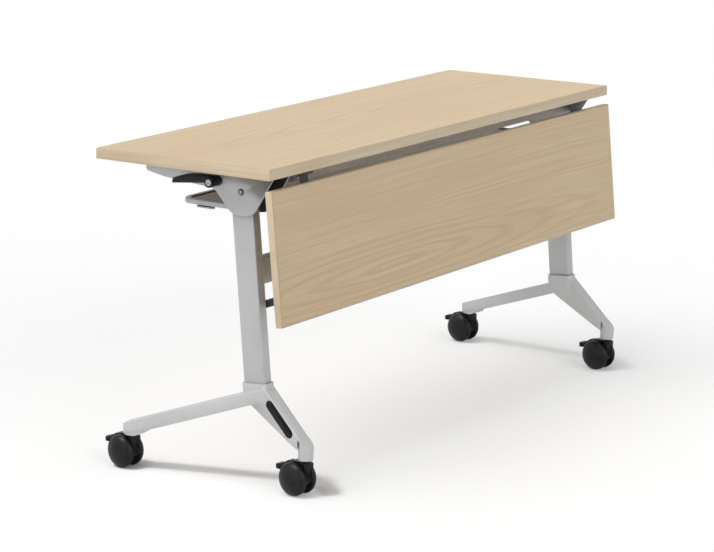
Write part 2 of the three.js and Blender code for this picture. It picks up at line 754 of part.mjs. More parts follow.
// The front arm's own axes: across it, behind its front face, and up along that face from the column
const frontSlope = Math.atan2(frontTop(0) - frontTop(-1), 1);
const onFrontArm = new THREE.Matrix4().makeBasis(
  new THREE.Vector3(1, 0, 0),
  new THREE.Vector3(0, Math.sin(frontSlope), -Math.cos(frontSlope)),
  new THREE.Vector3(0, Math.cos(frontSlope), Math.sin(frontSlope)))
  .setPosition(0, -columnDepth / 2, frontTop(-columnDepth / 2));
const flankTaper = Math.atan2(frontFlankInset, frontFlank);

// A front arm that narrows towards its back; its face runs out over the caster's post as a thin shell
function frontArm() {
  const [half, keel] = [frontArmWidth / 2, frontKeelWidth / 2];
  const shoulder = collarTop - frontArmDrop - frontArmShoulder;
  const side = outline([
    [frontHeelReach, frontUnder(frontHeelReach)],
    [frontHeelReach, shoulder],
    [-columnDepth / 2, frontTop(-columnDepth / 2)],
    [-frontStemReach, frontTop(-frontStemReach)],
    [-frontStemReach, frontUnder(-frontStemReach)]]);
  const flank = half - frontFlankInset;
  const section = outline([[-half, -OVER], [half, -OVER], [half, 0], [flank, frontFlank],
    [keel, frontKeelDepth], [-keel, frontKeelDepth], [-flank, frontFlank], [-half, 0]]);
  const wedge = alongZ(section, -collarTop, collarTop).applyMatrix4(onFrontArm);
  const bar = common(alongX(side, -half, half, footBevel), wedge);
  const underFace = (drop) => {
    const [near, far] = [-frontStemReach + frontArmWidth, -frontStemReach - frontArmWidth];
    return alongX(outline([[far, 0], [near, 0], [near, frontTop(near) - drop], [far, frontTop(far) - drop]]),
      -frontArmWidth, frontArmWidth);
  };
  const round = (radius, drop) => common(
    rodZ(radius, frontSeat, collarTop, 0, -frontStemReach), underFace(drop));
  const rib = block(-frontRib / 2, frontRib / 2, -frontStemReach, 0, 0, collarTop);
  const recess = cut(round(frontPostRadius + frontPostGap, frontShell), rib);
  const shell = cut(joined(bar, round(half, 0)), recess);
  return alongArm(joined(shell, round(frontPostRadius, 0)), frontArmHeading);
}

// The insert, flush with the front arm's outer side, and grown for its pocket
function insert(grow, rise) {
  const plate = capsule([-insertStart, 0], [-insertStart - insertSpan, 0], insertWidth / 2 + grow);
  const geometry = alongZ(plate, -insertDepth - grow, rise);
  const [along, down, out] = [
    new THREE.Vector3(0, 0, 1),
    new THREE.Vector3(Math.sin(flankTaper), Math.cos(flankTaper), 0),
    new THREE.Vector3(-Math.cos(flankTaper), Math.sin(flankTaper), 0)];
  const place = new THREE.Matrix4().makeBasis(along, down, out).setPosition(
    -frontArmWidth / 2 + insertDrop * Math.tan(flankTaper), insertDrop, 0);
  return alongArm(geometry.applyMatrix4(place).applyMatrix4(onFrontArm), frontArmHeading);
}

function foot() {
  const collarBottom = rearTop(0) - rearArmThickness;
  const collar = lean(alongZ(columnSection(collarWall), alongColumn(collarBottom), alongColumn(collarTop)));
  const pocket = lean(alongZ(columnSection(GAP), columnBottom - GAP, 0));
  const holes = [[frontStem, frontSeat], [rearStem, rearSeat]].map(([{ x, y }, seat]) => rodZ(
    stemRadius + GAP, seat - OVER, seat + stemGrip + stemHoleSpare, x, y));
  return cut(joined(collar, rearArm(), frontArm()), pocket, insert(GAP, OVER), ...holes);
}
addPair('foot', foot(), castSilver);
addPair('foot_insert', insert(0, 0), blackPlastic);

// Casters: drawn with the stem on the z axis and the wheels trailing towards +Y
function wheel() {
  const [inner, outer] = [hoodWidth / 2 + RUN, casterWidth / 2];
  const [boreRadius, boreEnd] = [axleRadius + GAP, axleLength / 2 + GAP];
  const dome = Array.from({ length: CURVE }, (_, i) => {
    const angle = (i / CURVE) * Math.PI / 2;
    return [wheelRadius * Math.cos(angle), outer - wheelDome + wheelDome * Math.sin(angle)];
  });
  const profile = [
    [0, boreEnd], [boreRadius, boreEnd], [boreRadius, inner],
    [wheelRadius - wheelChamfer, inner], [wheelRadius, inner + wheelChamfer], ...dome, [0, outer]];
  const points = profile.map((point) => new THREE.Vector2(...point));
  return new THREE.LatheGeometry(points, sidesOf(wheelRadius)).rotateZ(-Math.PI / 2);
}

const pedalHinge = { y: wheelTrail + pedalHingeReach, z: wheelRadius + pedalHingeRise };

function hood(seat) {
  const half = hoodWidth / 2;
  const [y, z] = [wheelTrail, wheelRadius];
  const collarBottom = casterHeight - stemCollarHeight;
  const back = pedalHinge.y - pedalEyeRadius - RUN;
  const backTop = pedalHinge.z + pedalEyeRadius;
  const web = outline([
    [back, backTop - hoodBack],
    [back, backTop],
    [y + hoodCrownReach, z + hoodCrown],
    [0, z + hoodCrown],
    [-stemCollarRadius, collarBottom + OVER],
    [-stemCollarRadius, collarBottom - hoodShoulder],
    [y - hoodFront, z + hoodFrontRise],
    [y - hoodFront + hoodFrontSlope, z - hoodFrontDrop],
    [y + hoodRear, z - hoodRearDrop]]);
  const plate = alongX(web, -half, half);
  const collar = rodZ(stemCollarRadius, collarBottom, casterHeight, 0, 0);
  const stem = rodZ(stemRadius, collarBottom, seat + stemGrip, 0, 0);
  const tongue = alongX(capsule([pedalHinge.y - tongueLength, pedalHinge.z], [pedalHinge.y, pedalHinge.z],
    pedalEyeRadius), -tongueWidth / 2, tongueWidth / 2);
  const pin = rodX(pedalPinRadius, -half, half, pedalHinge.y, pedalHinge.z);
  const bore = rodX(axleRadius + GAP, -half - OVER, half + OVER, y, z);
  return cut(joined(plate, collar, stem, tongue, pin), bore);
}

function pedal() {
  const half = hoodWidth / 2;
  const { y, z } = pedalHinge;
  const [rear, top] = [wheelTrail + pedalReach, wheelRadius + pedalEndTop];
  const [front, bottom] = [rear - pedalEndLength, wheelRadius + pedalEndBottom];
  const neck = alongX(outline([[y, z - pedalEyeRadius], [front + OVER, bottom + pedalBevel],
    [front + OVER, top - pedalBevel], [y, z + pedalEyeRadius]]), -half, half);
  const eye = rodX(pedalEyeRadius, -half, half, y, z);
  const end = alongX(rectangle(front, rear, bottom, top), -pedalWidth / 2, pedalWidth / 2, pedalBevel);
  const slot = tongueWidth / 2 + GAP;
  const tongueRoom = rodX(pedalEyeRadius + RUN, -slot, slot, y, z);
  const bore = rodX(pedalPinRadius + GAP, -half - OVER, half + OVER, y, z);
  return cut(joined(neck, eye, end), tongueRoom, bore);
}

function axle() {
  return rodX(axleRadius, -axleLength / 2, axleLength / 2, wheelTrail, wheelRadius);
}

function caster(name, place, seat) {
  const group = new THREE.Group();
  group.position.set(place.x, place.y, 0);
  group.rotation.z = casterHeading;
  table.add(group);
  const inward = wheel().translate(0, wheelTrail, wheelRadius);
  add(`${name}_hood`, hood(seat), blackPlastic, group);
  add(`${name}_axle`, axle(), steel, group);
  add(`${name}_wheel_a`, inward, blackPlastic, group);
  add(`${name}_wheel_b`, mirrored(inward), blackPlastic, group);
  add(`${name}_brake_pedal`, pedal(), blackPlastic, group);
}

for (const [side, sign] of [['left', 1], ['right', -1]]) {
  caster(`rear_caster_${side}`, { x: sign * rearStem.x, y: rearStem.y }, rearSeat);
  caster(`front_caster_${side}`, { x: sign * frontStem.x, y: frontStem.y }, frontSeat);
}

// The origin is on the floor, under the middle of the table's box
const middle = new THREE.Box3().setFromObject(table, true).getCenter(new THREE.Vector3());
table.position.set(-middle.x, -middle.y, 0);

export default table;
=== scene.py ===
# %% [markdown]
# # Dressing a flip top training table
#
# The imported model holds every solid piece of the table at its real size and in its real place: the board,
# the leaning legs, the hinged panel and the casters. This lesson gives those pieces their surfaces. Some
# pieces only need softer edges and a finish. Others, such as the wheels and the release levers, are
# modelled again with the detail that a quick solid leaves out.

# %% Load the frame
import json
import math

import bpy
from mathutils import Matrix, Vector


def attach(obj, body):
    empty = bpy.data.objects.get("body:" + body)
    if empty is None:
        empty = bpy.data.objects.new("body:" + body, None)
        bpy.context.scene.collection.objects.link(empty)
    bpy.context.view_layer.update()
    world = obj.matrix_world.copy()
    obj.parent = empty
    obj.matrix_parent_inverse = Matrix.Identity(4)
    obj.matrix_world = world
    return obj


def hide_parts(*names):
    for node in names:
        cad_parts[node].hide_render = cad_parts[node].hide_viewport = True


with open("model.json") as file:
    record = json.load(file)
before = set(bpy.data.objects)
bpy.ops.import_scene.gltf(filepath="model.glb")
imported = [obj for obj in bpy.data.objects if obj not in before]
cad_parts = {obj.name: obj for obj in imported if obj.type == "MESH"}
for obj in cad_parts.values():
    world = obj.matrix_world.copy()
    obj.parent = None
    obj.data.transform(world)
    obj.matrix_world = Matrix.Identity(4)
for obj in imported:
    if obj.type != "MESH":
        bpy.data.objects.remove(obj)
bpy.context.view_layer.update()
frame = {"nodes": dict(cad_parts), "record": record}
MM = 0.001
SIDES = ("left", "right")
OUTWARD = {"left": Vector((-1, 0, 0)), "right": Vector((1, 0, 0))}
CASTERS = [f"{end}_caster_{side}" for end in ("rear", "front") for side in SIDES]
body_of = {node: body for body, nodes in frame["record"]["behaviour"]["bodies"].items() for node in nodes}
slot_of = {part["node"]: part["material_slot"] for part in frame["record"]["subparts"]}
joints = {joint["name"]: joint for joint in frame["record"]["behaviour"]["joints"]}

# %% [markdown]
# ## Working habits
#
# An operator acts on everything that is selected, and a freshly loaded model is selected all over. So each
# step starts by selecting one piece and nothing else. Faces and edges are then chosen by where they are and
# which way they face, the way an eye would choose them.

# %% Selecting and editing
def only(piece):
    bpy.ops.object.select_all(action="DESELECT")
    piece.select_set(True)
    bpy.context.view_layer.objects.active = piece


def edit(piece, operator, **settings):
    only(piece)
    bpy.ops.object.mode_set(mode="EDIT")
    operator(**settings)
    bpy.ops.object.mode_set(mode="OBJECT")


def select_all(piece):
    edit(piece, bpy.ops.mesh.select_all, action="SELECT")


def select_faces(piece, test):
    edit(piece, bpy.ops.mesh.select_mode, type="FACE")
    edit(piece, bpy.ops.mesh.select_all, action="DESELECT")
    for face in piece.data.polygons:
        face.select = bool(test(face.center, face.normal))


def apply_modifier(piece, kind, **settings):
    only(piece)
    modifier = piece.modifiers.new(kind.title(), kind)
    for name, value in settings.items():
        setattr(modifier, name, value)
    bpy.ops.object.modifier_apply(modifier=modifier.name)


def smooth(piece, degrees):
    only(piece)
    bpy.ops.object.shade_smooth_by_angle(angle=math.radians(degrees))


# %% [markdown]
# ## Adding, copying and placing
#
# A new piece is shaped at the origin, standing on its own axis, where its sizes are easy to read. It is then
# carried to its place, and the move is written into its mesh, so that the piece itself stays unmoved and
# unturned. What occurs several times is modelled once, and each copy gets a mesh of its own. The frame tells
# how far a solid reaches in a direction, so places are measured and not guessed.

# %% Pieces and places
def added(operator, **settings):
    bpy.ops.object.select_all(action="DESELECT")
    operator(**settings)
    return bpy.context.object


def copied(pattern, name):
    piece = bpy.data.objects.new(name, pattern.data.copy())
    bpy.context.collection.objects.link(piece)
    return piece


def placed(piece, place, out=(0, 0, 1)):
    only(piece)
    piece.location = place
    piece.rotation_euler = Vector(out).to_track_quat("Z", "Y").to_euler()
    bpy.ops.object.transform_apply(location=True, rotation=True, scale=True)


def joined(first, *others):
    only(first)
    for other in others:
        other.select_set(True)
    bpy.ops.object.join()
    return first


def reach(node, direction, start=(0, 0, 0)):
    solid = frame["nodes"][node]
    way = Vector(direction)
    steps = [(solid.matrix_world @ v.co - Vector(start)).dot(way) for v in solid.data.vertices]
    return min(steps), max(steps)


# %% [markdown]
# ## Finishes as expressions
#
# A finish is a small network of nodes. Written one node at a time it is hard to read, so a thin wrapper lets
# Python's own signs stand for Math nodes: `1 - streaks * 0.3` adds the nodes that work it out. Every other
# node comes from one method, which takes the node's type, its settings and its inputs.

# %% A wrapped socket
class Wire:
    def __init__(self, tree, socket):
        self.tree = tree
        self.socket = socket

    def node(self, kind, settings=None, inputs=None, output=0):
        made = self.tree.nodes.new(kind)
        for name, value in (settings or {}).items():
            setattr(made, name, value)
        for name, value in (inputs or {}).items():
            if isinstance(value, Wire):
                self.tree.links.new(value.socket, made.inputs[name])
            else:
                made.inputs[name].default_value = value
        return Wire(self.tree, made.outputs[output])

    def math(self, operation, first, second):
        return self.node("ShaderNodeMath", {"operation": operation}, {0: first, 1: second})

    def __add__(self, other):
        return self.math("ADD", self, other)

    def __sub__(self, other):
        return self.math("SUBTRACT", self, other)

    def __rsub__(self, other):
        return self.math("SUBTRACT", other, self)

    def __mul__(self, other):
        return self.math("MULTIPLY", self, other)

    __radd__ = __add__
    __rmul__ = __mul__

    def stretched(self, x, y, z):
        return self.node("ShaderNodeVectorMath", {"operation": "MULTIPLY"}, {0: self, 1: (x, y, z)})

    def scaled(self, factor):
        return self.stretched(factor, factor, factor)

    def length(self):
        return self.node("ShaderNodeVectorMath", {"operation": "LENGTH"}, {0: self}, output=1)

    def noise(self, detail=2.0, roughness=0.5):
        values = {"Vector": self, "Scale": 1.0, "Detail": detail, "Roughness": roughness}
        return self.node("ShaderNodeTexNoise", None, values)

    def between(self, low, high):
        values = {"Value": self, "From Min": low, "From Max": high}
        return self.node("ShaderNodeMapRange", {"interpolation_type": "SMOOTHSTEP"}, values)

    def blend(self, first, second):
        return self.node("ShaderNodeMix", {"data_type": "RGBA"}, {0: self, 6: first, 7: second}, output=2)

    def bump(self, strength, distance):
        values = {"Strength": strength, "Distance": distance, "Height": self}
        return self.node("ShaderNodeBump", None, values)


# %% Colours and new finishes
def srgb(red, green, blue):
    def linear(value):
        value /= 255
        return value / 12.92 if value <= 0.04045 else ((value + 0.055) / 1.055) ** 2.4
    return (linear(red), linear(green), linear(blue), 1)


def shade(colour, factor, lift=0.0):
    return tuple(value * factor + lift for value in colour[:3]) + (1,)


def new_finish(name, **constants):
    material = bpy.data.materials.new(name)
    material.use_nodes = True
    tree = material.node_tree
    shader = tree.nodes["Principled BSDF"]
    for socket, value in constants.items():
        shader.inputs[socket.replace("_", " ")].default_value = value
    coordinates = tree.nodes.new("ShaderNodeTexCoord")
    return material, shader, Wire(tree, coordinates.outputs["Object"])


def feed(shader, **wires):
    for socket, wire in wires.items():
        wire.tree.links.new(wire.socket, shader.inputs[socket.replace("_", " ")])


# %% [markdown]
# ## Pale maple board
#
# The worktop and the panel are chipboard with a printed maple face: fine straight fibres along the length,
# broader streaks, and here and there the nested arcs of a flat-sawn plank. A photograph would be the quick
# way, but the print repeats and shows no detail up close. Stretched noise gives fibres at any distance, and
# rings seen at a shallow angle give the arcs. The pattern runs along X, and `across` names the axis of the
# board's width, so that the same finish serves the flat worktop and the upright panel.

# %% Maple colours and grain
MAPLE_PALE = srgb(212, 193, 162)
MAPLE_MID = srgb(200, 177, 143)
MAPLE_DARK = srgb(178, 150, 113)
MAPLE_PINK = srgb(206, 177, 146)
MAPLE_PORE = srgb(157, 128, 93)

SWAY_GRAIN = (1.6, 6, 1)
FIBRE_GRAIN = (7, 700, 1)
STREAK_GRAIN = (1.3, 170, 1)
CLOUD_GRAIN = (1.2, 6, 1)
PORE_GRAIN = (45, 1400, 1)
GRAIN_SWAY = 0.035
ARC_SWAY = 0.03
ARC_SLANT = 0.07
ARC_RINGS = {"Scale": 22, "Distortion": 1.6, "Detail": 3, "Detail Scale": 1.6}
ARC_CORE = 0.02

CLOUD_SHARE = 0.6
ARC_SHARE = 0.3
FIBRE_SHARE = 0.34
PORE_SHARE = 0.35

# %% Maple
def flat(x, y):
    return x.node("ShaderNodeCombineXYZ", None, {"X": x, "Y": y})


def maple(name, across, arc_x, arc_y, arc_spread):
    material, shader, place = new_finish(name, Specular_IOR_Level=0.2)
    split = place.node("ShaderNodeSeparateXYZ", None, {0: place}).socket.node
    along = Wire(place.tree, split.outputs["X"])
    width = Wire(place.tree, split.outputs[across])
    face = flat(along, width)
    sway = face.stretched(*SWAY_GRAIN).noise(detail=2) - 0.5
    bent = flat(along, width + sway * GRAIN_SWAY)
    fibres = bent.stretched(*FIBRE_GRAIN).noise(detail=3, roughness=0.65)
    streaks = bent.stretched(*STREAK_GRAIN).noise(detail=4, roughness=0.6)
    clouds = face.stretched(*CLOUD_GRAIN).noise(detail=2)
    pores = bent.stretched(*PORE_GRAIN).noise(detail=1)
    from_arc = flat((along - arc_x) * ARC_SLANT, width - arc_y + sway * ARC_SWAY)
    settings = {"wave_type": "RINGS", "rings_direction": "Z"}
    rings = place.node("ShaderNodeTexWave", settings, {"Vector": from_arc, **ARC_RINGS}, output=1)
    arcs = rings.between(0.45, 1.0) * (1 - from_arc.length().between(ARC_CORE, arc_spread))
    colour = streaks.between(0.28, 0.74).blend(MAPLE_PALE, MAPLE_MID)
    colour = (clouds.between(0.4, 0.7) * CLOUD_SHARE).blend(colour, MAPLE_PINK)
    colour = (arcs * ARC_SHARE).blend(colour, MAPLE_DARK)
    colour = (fibres.between(0.5, 0.8) * FIBRE_SHARE).blend(colour, MAPLE_DARK)
    colour = (pores.between(0.64, 0.8) * PORE_SHARE).blend(colour, MAPLE_PORE)
    relief = fibres * 0.6 + pores * 0.4
    feed(shader, Base_Color=colour, Roughness=0.46 + fibres * 0.12, Normal=relief.bump(0.06, 0.0003))
    return material


maple_top = maple("maple_top", across="Y", arc_x=0.35, arc_y=0.06, arc_spread=0.12)
maple_panel = maple("maple_panel", across="Z", arc_x=-0.30, arc_y=0.47, arc_spread=0.11)
print("finishes:", maple_top.name, maple_panel.name)

# %% [markdown]
# ## Edge band
#
# The narrow edges carry a plastic band printed with the same wood. It is a separate strip on the real board,
# so it has its own finish: the lines run round the table, along each edge, and it is a shade greyer because
# plastic has no depth. Noise that is stretched in both flat directions gives lines along every edge at once.

# %% Maple edge
BAND_PALE = srgb(206, 190, 164)
BAND_MID = srgb(195, 176, 148)
BAND_DARK = srgb(176, 152, 120)
BAND_LINES = (4, 4, 420)
BAND_CLOUDS = (3, 3, 12)
BAND_CLOUD_SHARE = 0.35


def edge_band():
    material, shader, place = new_finish("maple_edge", Specular_IOR_Level=0.25)
    lines = place.stretched(*BAND_LINES).noise(detail=3, roughness=0.6)
    clouds = place.stretched(*BAND_CLOUDS).noise(detail=1)
    colour = lines.between(0.34, 0.74).blend(BAND_PALE, BAND_MID)
    colour = (clouds.between(0.45, 0.7) * BAND_CLOUD_SHARE).blend(colour, BAND_DARK)
    feed(shader, Base_Color=colour, Roughness=0.44 + lines * 0.12, Normal=lines.bump(0.05, 0.0002))
    return material


maple_edge = edge_band()
print("finish:", maple_edge.name)

# %% [markdown]
# ## Silver and dark paint
#
# The legs, brackets and beams are powder coated in silver grey. Powder melts into a skin with a faint orange
# peel, and the aluminium flakes in it sparkle a little. So the finish is partly metallic, with a slow bump
# for the peel and a fine one for the flakes. The cast feet have the same paint over a rougher skin, where
# small pits show through as darker grains. The tray's sheet takes the same paint in a darker grey, which is
# painted shade for its place under the worktop. The links, the hinges and the heads inside the brackets take
# the same kind of coat in near black, and that near black is painted shade: they sit deep in the shade under
# the worktop.

# %% Paints
PEEL_SCALE = 420
FLAKE_SCALE = 2600
CLOUD_SCALE = 7
PIT_SCALE = 520
PAINT_LIGHT, PAINT_DARK, PAINT_PIT = 1.08, 0.9, 0.55


def paint(name, colour, roughness, peel, flake, mottle=0.0):
    material, shader, place = new_finish(name, Metallic=0.35, Specular_IOR_Level=0.5)
    waves = place.scaled(PEEL_SCALE).noise(detail=2)
    flakes = place.scaled(FLAKE_SCALE).noise(detail=1)
    clouds = place.scaled(CLOUD_SCALE).noise(detail=3)
    pits = place.scaled(PIT_SCALE).noise(detail=2, roughness=0.7)
    tint = clouds.between(0.3, 0.7) * 0.6 + flakes.between(0.35, 0.65) * 0.4
    coat = tint.blend(shade(colour, PAINT_DARK), shade(colour, PAINT_LIGHT))
    pitted = (pits.between(0.52, 0.74) * mottle).blend(coat, shade(colour, PAINT_PIT))
    relief = waves * peel + flakes * flake
    feed(shader, Base_Color=pitted, Roughness=roughness - 0.06 + clouds * 0.12,
         Normal=relief.bump(0.12, 0.0004))
    return material


silver_paint = paint("silver_paint", srgb(180, 181, 182), roughness=0.4, peel=1.0, flake=0.35)
cast_silver = paint("cast_silver", srgb(190, 190, 190), roughness=0.44, peel=1.6, flake=0.6, mottle=0.45)
# The tray sheet's darker grey is painted shade.
tray_sheet = paint("tray_sheet", srgb(148, 151, 156), roughness=0.48, peel=1.0, flake=0.3)
# This near black is painted shade for the parts under the worktop.
dark_paint = paint("dark_paint", srgb(58, 56, 54), roughness=0.46, peel=1.0, flake=0.4)
print("finishes:", silver_paint.name, cast_silver.name, tray_sheet.name, dark_paint.name)

# %% [markdown]
# ## Zinc and black nylon
#
# Pins, shafts, axles and bolts are zinc plated: a cool grey, slightly yellow in patches, with fine drawn
# scratches. The grey is darker than bright plating, and that darkness is partly painted shade: the bolt heads
# sit in the shade of the brackets. Levers, inserts and casters are black nylon with the fine grain of a
# spark-eroded mould, and the wheels are a little smoother where they roll.

# %% Zinc and nylon
# Both zinc greys are kept darker than bright plating, partly as painted shade.
ZINC_COOL = srgb(160, 162, 164)
ZINC_WARM = srgb(152, 149, 139)
ZINC_PATCH_SCALE = 60
ZINC_SCRATCHES = (90, 2400, 2400)
NYLON_GRAIN_SCALE = 1500
NYLON_WEAR_SCALE = 38


def zinc():
    material, shader, place = new_finish("zinc_steel", Metallic=1.0)
    patches = place.scaled(ZINC_PATCH_SCALE).noise(detail=3)
    drawn = place.stretched(*ZINC_SCRATCHES).noise(detail=2)
    colour = patches.between(0.35, 0.7).blend(ZINC_COOL, ZINC_WARM)
    feed(shader, Base_Color=colour, Roughness=0.2 + patches * 0.12 + drawn * 0.1,
         Normal=drawn.bump(0.08, 0.0002))
    return material


def nylon(name, colour, roughness, grain, gloss):
    material, shader, place = new_finish(name, Specular_IOR_Level=gloss)
    pebbles = place.scaled(NYLON_GRAIN_SCALE).noise(detail=2)
    wear = place.scaled(NYLON_WEAR_SCALE).noise(detail=4, roughness=0.65)
    worn = shade(colour, 1.5, lift=0.004)
    feed(shader, Base_Color=wear.between(0.4, 0.75).blend(colour, worn),
         Roughness=roughness - 0.08 + wear * 0.16, Normal=pebbles.bump(grain, 0.0002))
    return material


zinc_steel = zinc()
black_plastic = nylon("black_plastic", srgb(12, 12, 13), roughness=0.34, grain=0.2, gloss=0.2)
wheel_nylon = nylon("wheel_nylon", srgb(14, 14, 15), roughness=0.38, grain=0.1, gloss=0.22)
print("finishes:", zinc_steel.name, black_plastic.name, wheel_nylon.name)

# %% [markdown]
# ## From slots to finishes
#
# The part's record gives every solid a material slot. One table turns a slot into a finish, so a piece only
# has to know its slot. The worktop's maple stands for both boards, and the panel takes its own turn of it.

# %% Dressing a piece
finish_of = {
    "maple_board": maple_top, "maple_edge": maple_edge, "silver_paint": silver_paint,
    "cast_silver": cast_silver, "dark_paint": dark_paint, "tray_sheet": tray_sheet,
    "zinc_steel": zinc_steel, "black_plastic": black_plastic, "wheel_nylon": wheel_nylon}


def dress(piece, finish):
    piece.data.materials.clear()
    piece.data.materials.append(finish)


def fixed_on(node, piece, slot):
    dress(piece, finish_of[slot])
    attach(piece, body_of[node])


print("slots:", len(finish_of))

# %% [markdown]
# ## Boards that stay as they are
#
# A laminated board is a true flat block, and its edges are covered by the band. The solids of the worktop
# and the panel are therefore already right, and only take the maple finish.

# %% Worktop and panel
dress(frame["nodes"]["worktop"], maple_top)
dress(frame["nodes"]["modesty_panel"], maple_panel)
print("boards dressed")

# %% [markdown]
# ## Softer edges
#
# No pressed, cast or extruded edge is knife sharp: a thin bright line along it tells the eye that the piece
# is solid. The solids of the metal pieces have the right shape with sharp edges, so a merged copy of each
# gets a small bevel, and the copy stands for the solid. Flat faces are first dissolved into single faces,
# because a bevel follows the edges of faces and not the edges of triangles.

# %% A softened copy
MERGE = 0.002 * MM
FLAT_ANGLE = math.radians(0.5)
SHARP_ANGLE = math.radians(35)


def merged_copy(node, name):
    piece = copied(frame["nodes"][node], name)
    select_all(piece)
    edit(piece, bpy.ops.mesh.remove_doubles, threshold=MERGE)
    return piece


def soften(node, radius):
    piece = merged_copy(node, f"soft_{node}")
    edit(piece, bpy.ops.mesh.dissolve_limited, angle_limit=FLAT_ANGLE)
    apply_modifier(piece, "BEVEL", width=radius, segments=2, limit_method="ANGLE",
                   angle_limit=SHARP_ANGLE, harden_normals=False, use_clamp_overlap=True)
    smooth(piece, degrees=40)
    fixed_on(node, piece, slot_of[node])
    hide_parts(node)
    return piece


# %% Edge radii in millimetres
PAIR_RADII = {
    "column": 0.6, "pivot_head": 0.8, "flip_bracket": 0.9, "foot": 1.2, "tray_arm": 4.0, "bag_hook": 1.0,
    "panel_link": 0.8, "link_bracket": 0.6, "panel_hinge_top_leaf": 0.4, "panel_hinge_panel_leaf": 0.4,
    "panel_hinge_pin": 0.4, "lever_shaft": 0.6}
SINGLE_RADII = {
    "worktop_edge_band": 0.8, "panel_edge_band": 0.8, "top_beam": 1.2, "stretcher": 1.2, "tray_rail": 0.6,
    "tray_floor": 0.3}
CASTER_RADII = {"hood": 1.0, "axle": 0.4, "brake_pedal": 1.0}

for part, radius in PAIR_RADII.items():
    for side in SIDES:
        soften(f"{part}_{side}", radius * MM)
for part, radius in SINGLE_RADII.items():
    soften(part, radius * MM)
for caster in CASTERS:
    for part, radius in CASTER_RADII.items():
        soften(f"{caster}_{part}", radius * MM)

# %% [markdown]
# ## Caster wheels
#
# A twin-wheel caster rolls on two nylon wheels whose outer sides are smooth domes, so that no cable catches
# on them. Each is a moulding in one piece: dome, narrow tread, a small chamfer and a bore for the axle. It is
# built the way it looks: a sphere is flattened to the dome's height and cut in half, and its open rim is
# drawn inwards to make the tread and the chamfer. The rim is closed, and the bore is inset and pushed in. A
# fine ring shows where the cover meets the tread. One wheel is modelled, and each caster gets two copies.

# %% One wheel
WHEEL_DOME = 20 * MM
WHEEL_CHAMFER = 2 * MM
WHEEL_SEGMENTS, WHEEL_RINGS = 72, 40
BORE_GAP = 0.5 * MM
RING_START, RING_END = 0.86, 0.9
RING_SLOPE, RING_DEPTH = 0.2 * MM, 0.5 * MM
OUTER_FACE = 0.1


def draw_out(piece, step, shrink=1):
    edit(piece, bpy.ops.mesh.extrude_region_move, TRANSFORM_OT_translate={"value": (0, 0, step)})
    edit(piece, bpy.ops.transform.resize, value=(shrink, shrink, 1))


def wheel_shape(radius, inner, outer, bore, bore_depth):
    piece = added(bpy.ops.mesh.primitive_uv_sphere_add, segments=WHEEL_SEGMENTS, ring_count=WHEEL_RINGS,
                  radius=radius)
    select_all(piece)
    edit(piece, bpy.ops.transform.resize, value=(1, 1, WHEEL_DOME / radius))
    select_faces(piece, lambda middle, normal: middle.z < 0)
    edit(piece, bpy.ops.mesh.delete, type="FACE")
    edit(piece, bpy.ops.mesh.select_mode, type="EDGE")
    edit(piece, bpy.ops.mesh.select_non_manifold)
    draw_out(piece, -(outer - WHEEL_DOME - inner - WHEEL_CHAMFER))
    draw_out(piece, -WHEEL_CHAMFER, 1 - WHEEL_CHAMFER / radius)
    edit(piece, bpy.ops.mesh.edge_face_add)
    edit(piece, bpy.ops.mesh.inset, thickness=radius - WHEEL_CHAMFER - bore)
    draw_out(piece, bore_depth)
    select_all(piece)
    edit(piece, bpy.ops.mesh.normals_make_consistent)
    edit(piece, bpy.ops.transform.translate, value=(0, 0, outer - WHEEL_DOME))
    start, end = RING_START * radius, RING_END * radius
    select_faces(piece, lambda middle, normal: start < middle.xy.length < end and normal.z > OUTER_FACE)
    edit(piece, bpy.ops.mesh.inset, thickness=RING_SLOPE, depth=-RING_DEPTH)
    smooth(piece, degrees=30)
    return piece


# %% Wheels on their axles
def wheel_measures(caster):
    joint = joints[f"{caster}_roll"]
    centre, axis = Vector(joint["pos_m"]), Vector(joint["axis"])
    inner, outer = sorted(abs(step) for step in reach(f"{caster}_wheel_a", axis, centre))
    bore = reach(f"{caster}_axle", (0, 0, 1), centre)[1] + BORE_GAP
    bore_depth = reach(f"{caster}_axle", axis, centre)[1] + BORE_GAP - inner
    return centre.z, inner, outer, bore, bore_depth


pattern_wheel = wheel_shape(*wheel_measures(CASTERS[0]))
for caster in CASTERS:
    joint = joints[f"{caster}_roll"]
    centre, axis = Vector(joint["pos_m"]), Vector(joint["axis"])
    for part in ("wheel_a", "wheel_b"):
        node = f"{caster}_{part}"
        piece = copied(pattern_wheel, f"{node}_moulded")
        placed(piece, centre, axis if reach(node, axis, centre)[0] > 0 else -axis)
        fixed_on(node, piece, slot_of[node])
        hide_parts(node)
bpy.data.objects.remove(pattern_wheel)

# %% [markdown]
# ## Ribs on the caster hoods
#
# The hood between the wheels is a thin moulding, and three upright ribs stiffen its front. Each rib is a slim
# block with rounded edges, and the three of a hood are one piece. They are modelled once and copied to each
# hood, turned with its axle.

# %% Hood ribs
RIB_STEP = 6.5 * MM
RIB_SIZE = Vector((2.2 * MM, 2.4 * MM, 34 * MM))
RIB_FRONT = 12.4 * MM
RIB_MIDDLE = 54 * MM
RIB_ROUNDING = 0.7 * MM


def rib(step):
    piece = added(bpy.ops.mesh.primitive_cube_add, size=1)
    select_all(piece)
    edit(piece, bpy.ops.transform.resize, value=RIB_SIZE)
    edit(piece, bpy.ops.transform.translate, value=(step * RIB_STEP, -RIB_FRONT, RIB_MIDDLE))
    apply_modifier(piece, "BEVEL", width=RIB_ROUNDING, segments=3)
    return piece


